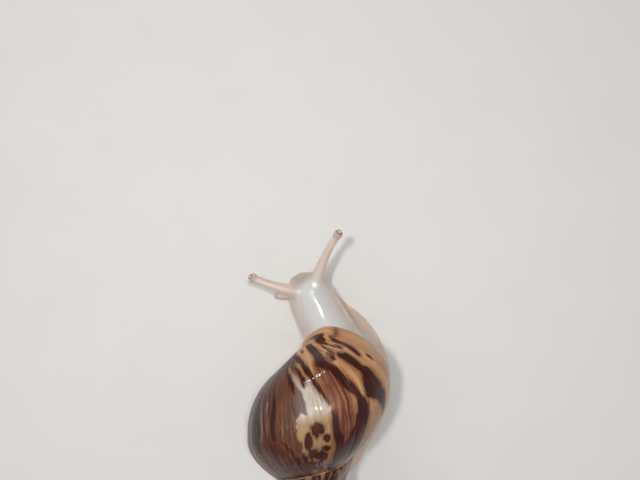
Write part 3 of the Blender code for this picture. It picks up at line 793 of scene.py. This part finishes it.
def skin_field():
    lattice = Lattice((-16.0, -2.4, -0.6), (16.2, 64.6, 22.4))
    foot_field(lattice)
    lattice.join((-18, 12, -1), (6, 48, 20), trunk_shape(), 1.6)
    lattice.join((-17, 5, -1), (9, 32, 18), neck_shape, 0.9)
    lattice.join((-1.5, 5, -1), (8, 13, 10), ball((3.75, 9.5, 3.3), (2.75, 2.15, 2.3), 20, -14), 1.1)
    for offset in (-1.05, 1.05):
        middle = (4.3 + 0.93 * offset, 8.4 + 0.36 * offset, 1.75)
        lattice.join((0, 4, -1), (8, 12, 5), ball(middle, (1.15, 0.85, 0.95), 20), 0.55)
    lattice.join((-3, 4, 2), (17, 14, 12), stalk_shape(UPPER_LEFT), 0.9)
    lattice.join((-6, -3, 3), (5, 14, 17), stalk_shape(UPPER_RIGHT), 0.9)
    lattice.join((3, 8, 0), (12, 15, 6), stalk_shape(LOWER_LEFT), 0.7)
    lattice.join((-3, 3, 0), (5, 12, 6), stalk_shape(LOWER_RIGHT), 0.7)
    for rows in (UPPER_LEFT, UPPER_RIGHT):
        tip = np.array(rows[-1][:3])
        lattice.join(tip - 3, tip + 3, ball(tip, (0.84,) * 3), 0.4)
    cut, points = lattice.window((-17, 12, -1), (13, 60, 23))
    clear = 0.3 - shell_distance()(points)
    lattice.field[cut] = np.maximum(lattice.field[cut], clear)
    cut, points = lattice.window((-16, 14, 9), (7, 46, 23))
    lattice.field[cut] = np.minimum(lattice.field[cut], plug_shape()(points))
    z = lattice.low[2] + STEP * np.arange(lattice.count[2])
    lattice.field = np.maximum(lattice.field, -z[None, None, :].astype(np.float32))
    return lattice


def eye_middle(rows):
    tip, before = np.array(rows[-1][:3]), np.array(rows[-2][:3])
    run = (tip - before) / np.linalg.norm(tip - before)
    return tip + run * 0.35 + np.array([0, 0, 0.35])


EDGES = [(a, b) for a in CORNERS for b in CORNERS
         if sum(abs(p - q) for p, q in zip(a, b)) == 1 and a < b]


def surface_net(lattice):
    """Points and quads of the level surface of the lattice's field."""
    field = lattice.field
    inside = field < 0
    nx, ny, nz = inside.shape
    total = np.zeros((nx - 1, ny - 1, nz - 1), np.int8)
    for a, b, c in CORNERS:
        total += inside[a:nx - 1 + a, b:ny - 1 + b, c:nz - 1 + c]
    active = (total > 0) & (total < 8)
    cells = np.argwhere(active)
    number = np.full(active.shape, -1, np.int32)
    number[active] = np.arange(len(cells))
    place = np.zeros((len(cells), 3))
    hits = np.zeros(len(cells))
    for a, b in EDGES:
        one = field[tuple(cells[:, k] + a[k] for k in range(3))].astype(float)
        two = field[tuple(cells[:, k] + b[k] for k in range(3))].astype(float)
        crossed = (one < 0) != (two < 0)
        t = np.where(crossed, one / np.where(crossed, one - two, 1), 0)
        place += crossed[:, None] * (np.array(a) + t[:, None] * (np.array(b) - np.array(a)))
        hits += crossed
    points = lattice.low + STEP * (cells + place / hits[:, None])
    quads = []
    for axis in range(3):
        u, w = (axis + 1) % 3, (axis + 2) % 3
        inner = [slice(1, -1)] * 3
        inner[axis] = slice(0, -1)
        first = inside[tuple(inner)]
        inner[axis] = slice(1, None)
        second = inside[tuple(inner)]
        for flag, order in ((first & ~second, 1), (~first & second, -1)):
            at = np.argwhere(flag)
            at[:, u] += 1
            at[:, w] += 1
            corners = []
            for du, dw in ((-1, -1), (0, -1), (0, 0), (-1, 0)):
                cell = at.copy()
                cell[:, u] += du
                cell[:, w] += dw
                corners.append(number[tuple(cell.T)])
            quads.append(np.stack(corners[::order], 1))
    quads = np.vstack(quads)
    return points, quads[(quads >= 0).all(axis=1)]


def relaxed(points, quads, lattice):
    """Evens out the net, keeping it on the level surface."""
    pairs = np.vstack([quads[:, [k, (k + 1) % 4]] for k in range(4)])
    one, two = pairs[:, 0], pairs[:, 1]
    weight = np.bincount(one, minlength=len(points)) + np.bincount(two, minlength=len(points))
    for _ in range(3):
        total = [np.bincount(one, column[two], len(column)) + np.bincount(two, column[one], len(column))
                 for column in points.T]
        mean = np.stack(total, 1) / np.maximum(weight, 1)[:, None]
        points = points + 0.6 * (mean - points)
        gap = np.clip(lattice.sample(points), -0.2, 0.2)
        points = points - lattice.slope(points) * (gap * 0.8)[:, None]
    return points


def refined(name, points, quads):
    """One round of Catmull-Clark subdivision; returns points, normals and quads in mm."""
    obj = mesh_object(name, points, quads)
    step = obj.modifiers.new("refine", "SUBSURF")
    step.levels = step.render_levels = 1
    graph = bpy.context.evaluated_depsgraph_get()
    mesh = bpy.data.meshes.new_from_object(obj.evaluated_get(graph))
    obj.modifiers.clear()
    place, normals = read(mesh.vertices, "co", 3), read(mesh.vertex_normals, "vector", 3)
    faces = read(mesh.polygons, "vertices", 4, np.int32)
    bpy.data.objects.remove(obj, do_unlink=True)
    bpy.data.meshes.remove(mesh)
    return place / MM + CENTRE, normals, faces


def skin_fields(points):
    """Where on the body each point lies, for the material and the relief."""
    at, over, up, wide, high, _ = neck_coordinates(points)
    crown = ease(1.02 - np.abs(over / wide) ** 1.7, 0.0, 1.0) * ease(up / high, -0.35, 0.95)
    head = ease(at, 37, 47)
    stalk = np.zeros(len(points))
    tip = np.zeros(len(points))
    front = np.flatnonzero((points[:, 1] < 14.5) & (points[:, 2] > 0.8))
    for rows in (UPPER_LEFT, UPPER_RIGHT, LOWER_LEFT, LOWER_RIGHT):
        gap, place = stalk_distance(points[front], smooth_rows(rows, STALK_SECTIONS))
        close = 1 - ease(gap, 0.3, 0.9)
        stalk[front] = np.maximum(stalk[front], close * ease(place, 0.12, 0.42))
        tip[front] = np.maximum(tip[front], close * ease(place, 0.86, 0.97))
    edge = foot_map(points[:, 0], points[:, 1])[0]
    low = 1 - ease(points[:, 2], 0.9, 2.6)
    rim = ease(edge, -1.6, -0.1) * low
    # Painted shade: a mask over the front of the head, which also holds back the crown's pale tint there.
    head_front_shade = ease((points[:, 0] - 3.1) * 0.591 - (points[:, 1] - 10.2) * 0.806, -0.5, 1.8) * (1 - stalk)
    crown = crown * (1 - 0.9 * head_front_shade) * (1 - 0.45 * head)
    sole = 1 - ease(points[:, 2], 0.05, 0.35)
    return {"crown": crown, "head": head, "stalk": stalk, "tip": tip, "rim": rim, "low": low, "sole": sole,
            "over": over, "head_front_shade": head_front_shade}


def skin_relief(points, fields):
    """Height of tubercles, furrows and wrinkles, in mm."""
    turned = points @ np.array([[0.89, -0.46, 0], [0.46, 0.89, 0], [0, 0, 1]])
    soft = 1 - ease(fields["stalk"], 0.1, 0.6)
    above = ease(points[:, 2], 0.15, 0.6)
    rough = 0.06 + 0.60 * (1 - fields["crown"]) * ease(points[:, 1], 9.0, 24.0)
    rough = rough * soft * above * (1 - 0.6 * fields["rim"])
    cells = pebbles(turned / np.array([0.62, 0.95, 0.62]), 51) - 0.6
    small = pebbles(points / 0.34, 52) - 0.6
    folds = noise(turned / np.array([1.5, 3.4, 1.3]), 53)
    folds += 0.5 * noise(turned / np.array([0.7, 1.6, 0.7]), 54)
    relief = rough * (0.075 * cells + 0.05 * folds)
    relief += 0.012 * small * above * soft * (1 - 0.95 * fields["crown"])
    furrow = np.exp(-((np.abs(fields["over"]) - 0.42) / 0.13) ** 2) * ease(fields["crown"], 0.5, 0.9)
    relief -= 0.010 * furrow * soft * (1 - fields["head"])
    rings = pebbles(points / 0.42, 55) - 0.6
    relief += 0.02 * rings * fields["stalk"] * (1 - fields["tip"])
    comb = noise(np.stack([points[:, 0] / 0.45, points[:, 1] / 0.45, points[:, 2] / 4], -1), 56)
    relief += 0.03 * comb * fields["rim"] * above
    return relief


def make_skin():
    lattice = skin_field()
    points, quads = surface_net(lattice)
    points = relaxed(points, quads, lattice)
    points, normals, quads = refined("skin_draft", points, quads)
    fields = skin_fields(points)
    points = points + normals * skin_relief(points, fields)[:, None]
    points[:, 2] = np.where(points[:, 2] < 0.06, 0.0, points[:, 2])
    skin = mesh_object("skin_one_piece", points, quads, fields)
    skin.data.materials.append(skin_material())
    return skin


# ---- eyes ----

def make_eye(name, rows):
    """A domed eye, set into the knob of the stalk; gaze is the angle from the way it looks."""
    middle = eye_middle(rows)
    count, rings = 48, 30
    lookout = np.array([0.0, 0.0, 1.0])
    run = np.array(rows[-1][:3]) - np.array(rows[-3][:3])
    lookout = lookout * 0.9 + run / np.linalg.norm(run) * 0.45
    lookout /= np.linalg.norm(lookout)
    side = np.cross(lookout, [0.3, 0.9, 0.1])
    side /= np.linalg.norm(side)
    other = np.cross(lookout, side)
    tilt = np.linspace(0.02, math.pi - 0.02, rings)[:, None]
    turn = np.linspace(0, TAU, count, endpoint=False)[None, :]
    bulge = 1 + 0.05 * np.exp(-(tilt / 0.45) ** 2) - 0.03 * np.exp(-((tilt - 0.62) / 0.12) ** 2)
    radius = 0.60 * bulge
    spoke = np.cos(turn)[..., None] * side + np.sin(turn)[..., None] * other
    ray = np.cos(tilt)[..., None] * lookout + np.sin(tilt)[..., None] * spoke
    points = middle + radius[..., None] * ray
    number = np.arange(rings * count).reshape(rings, count)
    quads = np.stack([number[:-1], np.roll(number[:-1], -1, 1), np.roll(number[1:], -1, 1), number[1:]], -1)
    caps = [[number[r, i], number[r, i + 1], number[r, count - 2 - i], number[r, count - 1 - i]]
            for r in (0, rings - 1) for i in range(count // 2 - 1)]
    gaze = np.repeat(tilt, count, 1).ravel()
    eye = mesh_object(name, points.reshape(-1, 3), np.vstack([quads.reshape(-1, 4), caps]), {"gaze": gaze})
    eye.data.materials.append(eye_material())
    return eye


# ---- materials ----

class Nodes:
    """A short way to write the node tree of a material, made once for each name."""

    def __init__(self, name):
        self.material = bpy.data.materials.get(name)
        self.fresh = self.material is None
        if self.fresh:
            self.material = bpy.data.materials.new(name)
            self.material.use_nodes = True
        self.tree = self.material.node_tree
        self.shader = self.tree.nodes["Principled BSDF"]

    def add(self, kind, inputs=(), **settings):
        node = self.tree.nodes.new(kind)
        for key, value in settings.items():
            setattr(node, key, value)
        for key, value in dict(inputs).items():
            self.plug(value, node.inputs[key])
        return node

    def plug(self, value, socket):
        if isinstance(value, bpy.types.NodeSocket):
            self.tree.links.new(value, socket)
        else:
            socket.default_value = value

    def field(self, name):
        return self.add("ShaderNodeAttribute", attribute_name=name).outputs["Fac"]

    def math(self, operation, one, two):
        return self.add("ShaderNodeMath", {0: one, 1: two}, operation=operation).outputs[0]

    def times(self, one, two):
        return self.math("MULTIPLY", one, two)

    def plus(self, one, two):
        return self.math("ADD", one, two)

    def minus(self, one, two):
        return self.math("SUBTRACT", one, two)

    def mix(self, share, one, two, blend="MIX"):
        """Mixes colours: sockets, linear ones of four numbers, or display values of three."""
        one, two = (srgb(*c) if isinstance(c, tuple) and len(c) == 3 else c for c in (one, two))
        inputs = {0: share, 6: one, 7: two}
        return self.add("ShaderNodeMix", inputs, data_type="RGBA", blend_type=blend).outputs[2]

    def step(self, value, low, high):
        """0 below low, 1 above high."""
        return self.add("ShaderNodeMapRange", {0: value, 1: low, 2: high, 3: 0.0, 4: 1.0},
                        interpolation_type="SMOOTHSTEP").outputs[0]

    def noise(self, vector, scale, detail=3.0, rough=0.5):
        inputs = {"Vector": vector, "Scale": scale, "Detail": detail, "Roughness": rough}
        return self.add("ShaderNodeTexNoise", inputs).outputs["Fac"]

    def bump(self, height, distance, strength, **below):
        inputs = {"Height": height, "Distance": distance, "Strength": strength, **below}
        return self.add("ShaderNodeBump", inputs).outputs[0]

    def finish(self, **inputs):
        for key, value in inputs.items():
            self.plug(value, self.shader.inputs[key.replace("_", " ")])
        return self.material


def shell_material():
    n = Nodes("shell_lacquer")
    growth, across = n.field("growth"), n.field("across")

    def streaks_of(often, over, scale, detail, rough):
        place = n.add("ShaderNodeCombineXYZ", {0: n.times(growth, often), 1: n.times(across, over)})
        return n.noise(place.outputs[0], scale, detail, rough)

    streaks = streaks_of(0.55, 1.6, 1.0, 4.0, 0.62)
    fine = streaks_of(1.7, 3.2, 1.0, 3.0, 0.6)
    cloud = streaks_of(0.1, 2.0, 1.1, 3.0, 0.55)
    wander = n.times(n.minus(streaks, 0.5), 6.4)
    fray = n.times(n.minus(fine, 0.5), 4.0)
    dark = n.plus(n.field("dark"), n.plus(wander, fray))
    tan = n.mix(n.step(cloud, 0.35, 0.68), (206, 164, 116), (180, 132, 98))
    tan = n.mix(n.times(n.step(streaks, 0.48, 0.72), 0.5), tan, (150, 94, 60))
    tan = n.mix(n.step(across, 0.15, 0.95), (128, 90, 64), tan)
    warm = n.field("warm")
    colour = n.mix(n.times(warm, 0.8), tan, (132, 82, 62))
    warm = n.times(warm, n.step(n.plus(streaks, n.times(cloud, 0.5)), 0.62, 0.84))
    colour = n.mix(warm, colour, (92, 42, 30))
    umber = n.mix(n.step(fine, 0.40, 0.66), (52, 23, 17), (96, 50, 38))
    colour = n.mix(n.times(n.field("maroon"), n.step(streaks, 0.24, 0.44)), colour, umber)
    pale = n.step(n.plus(n.field("pale"), n.times(wander, 0.7)), -0.8, 1.4)
    pale_flame_and_sheen = n.mix(n.step(across, 0.25, 0.70), (132, 98, 58), (166, 142, 106))
    # From across 0.8 to 1.55, fullest between 1.05 and 1.25, the pale flame turns near white: a painted
    # highlight (sheen). The tans below and the brown above are the flame's own colour.
    pale_flame_and_sheen = n.mix(n.step(across, 0.80, 1.05), pale_flame_and_sheen, (204, 198, 190))
    pale_flame_and_sheen = n.mix(n.step(across, 1.25, 1.55), pale_flame_and_sheen, (160, 130, 110))
    pale_flame_and_sheen = n.mix(n.times(n.step(streaks, 0.46, 0.66), 0.45), pale_flame_and_sheen, (132, 104, 74))
    # Painted reflection: grey over the pale flame near across 1.0 to 1.3, and fainter around it.
    grey_reflection = n.step(n.plus(n.field("grey_reflection"), n.times(wander, 0.4)), -1.2, 2.4)
    colour = n.mix(pale, colour, n.mix(grey_reflection, pale_flame_and_sheen, (108, 98, 96)))
    colour = n.mix(n.times(grey_reflection, 0.8), colour, (104, 92, 90))
    ink = n.mix(n.step(cloud, 0.36, 0.62), (68, 22, 9), (48, 17, 15))
    ink = n.mix(n.field("deep"), ink, (18, 13, 13))
    ink = n.mix(n.times(n.step(fine, 0.58, 0.74), 0.45), ink, (104, 56, 34))
    colour = n.mix(n.times(n.step(dark, -4.2, -0.3), 0.62), colour, (112, 62, 38))
    colour = n.mix(n.step(dark, -0.8, 0.8), colour, ink)
    shade = n.mix(n.step(fine, 0.40, 0.62), (0.85, 0.78, 0.73, 1), (1.06, 0.98, 0.92, 1))
    colour = n.mix(1.0, colour, shade, "MULTIPLY")
    thread = n.times(n.minus(1.0, n.step(across, 0.008, 0.03)), 0.7)
    colour = n.mix(thread, colour, (190, 156, 120))
    young = n.step(growth, -1500.0, -1080.0)
    colour = n.mix(young, n.mix(0.65, colour, (206, 176, 146)), colour)
    colour = n.mix(n.step(n.field("inside"), 0.1, 0.6), colour, (214, 214, 220))
    lines = streaks_of(2.6, 1.2, 1.0, 2.0, 0.5)
    spiral = streaks_of(0.12, 70.0, 1.0, 2.0, 0.5)
    normal = n.bump(lines, 0.00008, 0.55)
    normal = n.bump(spiral, 0.00003, 0.35, Normal=normal)
    rough = n.plus(0.26, n.times(streaks, 0.16))
    return n.finish(Base_Color=colour, Roughness=rough, Normal=normal, IOR=1.46, Specular_IOR_Level=0.27,
                    Coat_Weight=0.42, Coat_Roughness=0.045)


# Where on the body the skin takes another colour: field, how much of it, display colour. The third entry is
# painted shade over the front of the head
SKIN_TINTS = [
    ("crown", 1.0, (207, 208, 207)), ("head", 0.7, (202, 190, 179)), ("head_front_shade", 0.9, (184, 166, 154)),
    ("low", 0.7, (220, 192, 174)), ("rim", 0.6, (228, 200, 182)), ("stalk", 0.85, (218, 199, 188)),
    ("tip", 0.7, (188, 162, 150)), ("sole", 0.8, (196, 180, 158)),
]


def skin_material():
    n = Nodes("snail_skin")
    place = n.add("ShaderNodeTexCoord").outputs["Object"]
    cloud = n.noise(place, 260.0, 4.0, 0.55)
    freckle = n.noise(place, 1500.0, 3.0, 0.6)
    cells = n.add("ShaderNodeTexVoronoi", {"Vector": place, "Scale": 1700.0}).outputs["Distance"]
    colour = n.mix(n.step(cloud, 0.35, 0.65), (214, 194, 182), (204, 182, 168))
    for name, share, tint in SKIN_TINTS:
        colour = n.mix(n.times(n.field(name), share), colour, tint)
    bare = n.minus(1.0, n.times(n.field("crown"), 0.8))
    dots = n.times(n.times(n.step(cells, 0.02, 0.30), 0.07), bare)
    colour = n.mix(dots, colour, n.mix(n.step(freckle, 0.4, 0.62), (168, 146, 128), (212, 204, 194)))
    normal = n.bump(cells, 0.00006, 0.15)
    normal = n.bump(freckle, 0.00005, 0.12, Normal=normal)
    rough = n.plus(0.22, n.times(cloud, 0.16))
    n.shader.subsurface_method = "RANDOM_WALK"
    return n.finish(Base_Color=colour, Roughness=rough, Normal=normal, IOR=1.40, Subsurface_Weight=0.55,
                    Subsurface_Radius=(1.0, 0.62, 0.42), Subsurface_Scale=0.0008, Coat_Weight=0.6,
                    Coat_Roughness=0.05)


def eye_material():
    n = Nodes("snail_eye")
    if not n.fresh:
        return n.material
    gaze = n.field("gaze")
    place = n.add("ShaderNodeTexCoord").outputs["Object"]
    speck = n.noise(place, 4200.0, 3.0, 0.6)
    wobble = n.plus(gaze, n.times(n.minus(speck, 0.5), 0.25))
    # The pale centre, where the eye faces up, is a painted highlight. The brown ring around it is the eye's
    # own colour.
    ring = n.times(n.step(wobble, 0.30, 0.52), n.minus(1.0, n.step(wobble, 1.25, 1.7)))
    colour = n.mix(ring, (222, 206, 192), n.mix(n.step(speck, 0.4, 0.6), (138, 112, 100), (160, 134, 120)))
    colour = n.mix(n.step(wobble, 1.3, 1.7), colour, (186, 158, 142))
    normal = n.bump(speck, 0.00002, 0.2)
    rough = n.plus(0.08, n.times(speck, 0.06))
    return n.finish(Base_Color=colour, Roughness=rough, Normal=normal, IOR=1.40, Subsurface_Weight=0.2,
                    Subsurface_Radius=(1.0, 0.7, 0.5), Subsurface_Scale=0.0004, Coat_Weight=0.8,
                    Coat_Roughness=0.03)


def floor_material():
    n = Nodes("plain_floor")
    place = n.add("ShaderNodeTexCoord").outputs["Object"]
    mottle = n.noise(place, 60.0, 2.0, 0.5)
    colour = n.mix(mottle, (0.67, 0.655, 0.64, 1), (0.71, 0.695, 0.68, 1))
    return n.finish(Base_Color=colour, Roughness=0.6)


# ---- stage ----

def make_floor():
    half = 2.2
    corners = [(-half, -half, 0), (half, -half, 0), (half, half, 0), (-half, half, 0)]
    mesh = bpy.data.meshes.new("floor_plate")
    mesh.from_pydata(corners, [], [(0, 1, 2, 3)])
    floor = bpy.data.objects.new("floor_plate", mesh)
    bpy.context.scene.collection.objects.link(floor)
    mesh.materials.append(floor_material())


LIGHT_AIM = (0.0, -0.008, 0.01)
KEY_COLOUR = (1.0, 0.985, 0.96)
# Lamps: name, place in metres, width in metres, watts, colour
LAMPS = [
    ("key_left", (0.062, -0.030, 0.33), 0.026, 0.39, KEY_COLOUR),
    ("key_right", (-0.022, -0.036, 0.33), 0.026, 0.34, KEY_COLOUR),
    ("glint_left", (0.155, -0.275, 0.21), 0.012, 0.07),
    ("glint_right", (0.075, -0.285, 0.21), 0.012, 0.07),
    ("soft_left", (0.75, -0.10, 0.75), 1.40, 2.2),
    ("soft_right", (-0.80, 0.15, 0.70), 1.40, 1.3),
    ("soft_back", (0.10, 0.90, 0.65), 1.20, 1.4),
]


def area_light(name, place, size, power, colour=(1, 1, 1)):
    lamp = bpy.data.lights.new(name, "AREA")
    lamp.shape = "DISK"
    lamp.size = size
    lamp.energy = power
    lamp.color = colour
    obj = bpy.data.objects.new(name, lamp)
    obj.location = Vector(place)
    obj.rotation_euler = (Vector(LIGHT_AIM) - Vector(place)).to_track_quat("-Z", "Y").to_euler()
    bpy.context.scene.collection.objects.link(obj)


def make_lights():
    for lamp in LAMPS:
        area_light(*lamp)
    world = bpy.data.worlds.new("studio")
    world.use_nodes = True
    world.node_tree.nodes["Background"].inputs[0].default_value = (0.95, 0.96, 1.0, 1)
    world.node_tree.nodes["Background"].inputs[1].default_value = 0.12
    bpy.context.scene.world = world


def make_camera():
    """Almost straight above, six degrees off the vertical, with the head at the top of the picture."""
    tilt, distance = math.radians(6.0), 160.0
    data = bpy.data.cameras.new("camera")
    data.sensor_width = 36.0
    data.lens = 736.0 / 640.0 * 36.0           # focal length of 736 pixels in a picture 640 wide
    data.clip_start, data.clip_end = 0.005, 20.0
    camera = bpy.data.objects.new("camera", data)
    right, up = (-1, 0, 0), (0, -math.cos(tilt), math.sin(tilt))
    back = np.array([0.0, math.sin(tilt), math.cos(tilt)])
    place = (distance * back - CENTRE) * MM
    camera.matrix_world = Matrix([[right[k], up[k], back[k], place[k]] for k in range(3)] + [[0, 0, 0, 1]])
    bpy.context.scene.collection.objects.link(camera)
    bpy.context.scene.camera = camera


def main():
    make_camera()
    make_lights()
    make_floor()
    shell = make_shell()
    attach(shell, "root")
    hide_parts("shell")
    skin = make_skin()
    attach(skin, "root")
    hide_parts("foot", "tail", "trunk", "mantle_collar", "neck", "head", "lips", "upper_tentacle_left",
                "upper_tentacle_right", "lower_tentacle_left", "lower_tentacle_right")
    for side, rows in (("left", UPPER_LEFT), ("right", UPPER_RIGHT)):
        eye = make_eye(f"eye_globe_{side}", rows)
        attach(eye, "root")
        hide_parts(f"eye_{side}")
    bpy.context.scene.view_settings.view_transform = "Standard"


main()
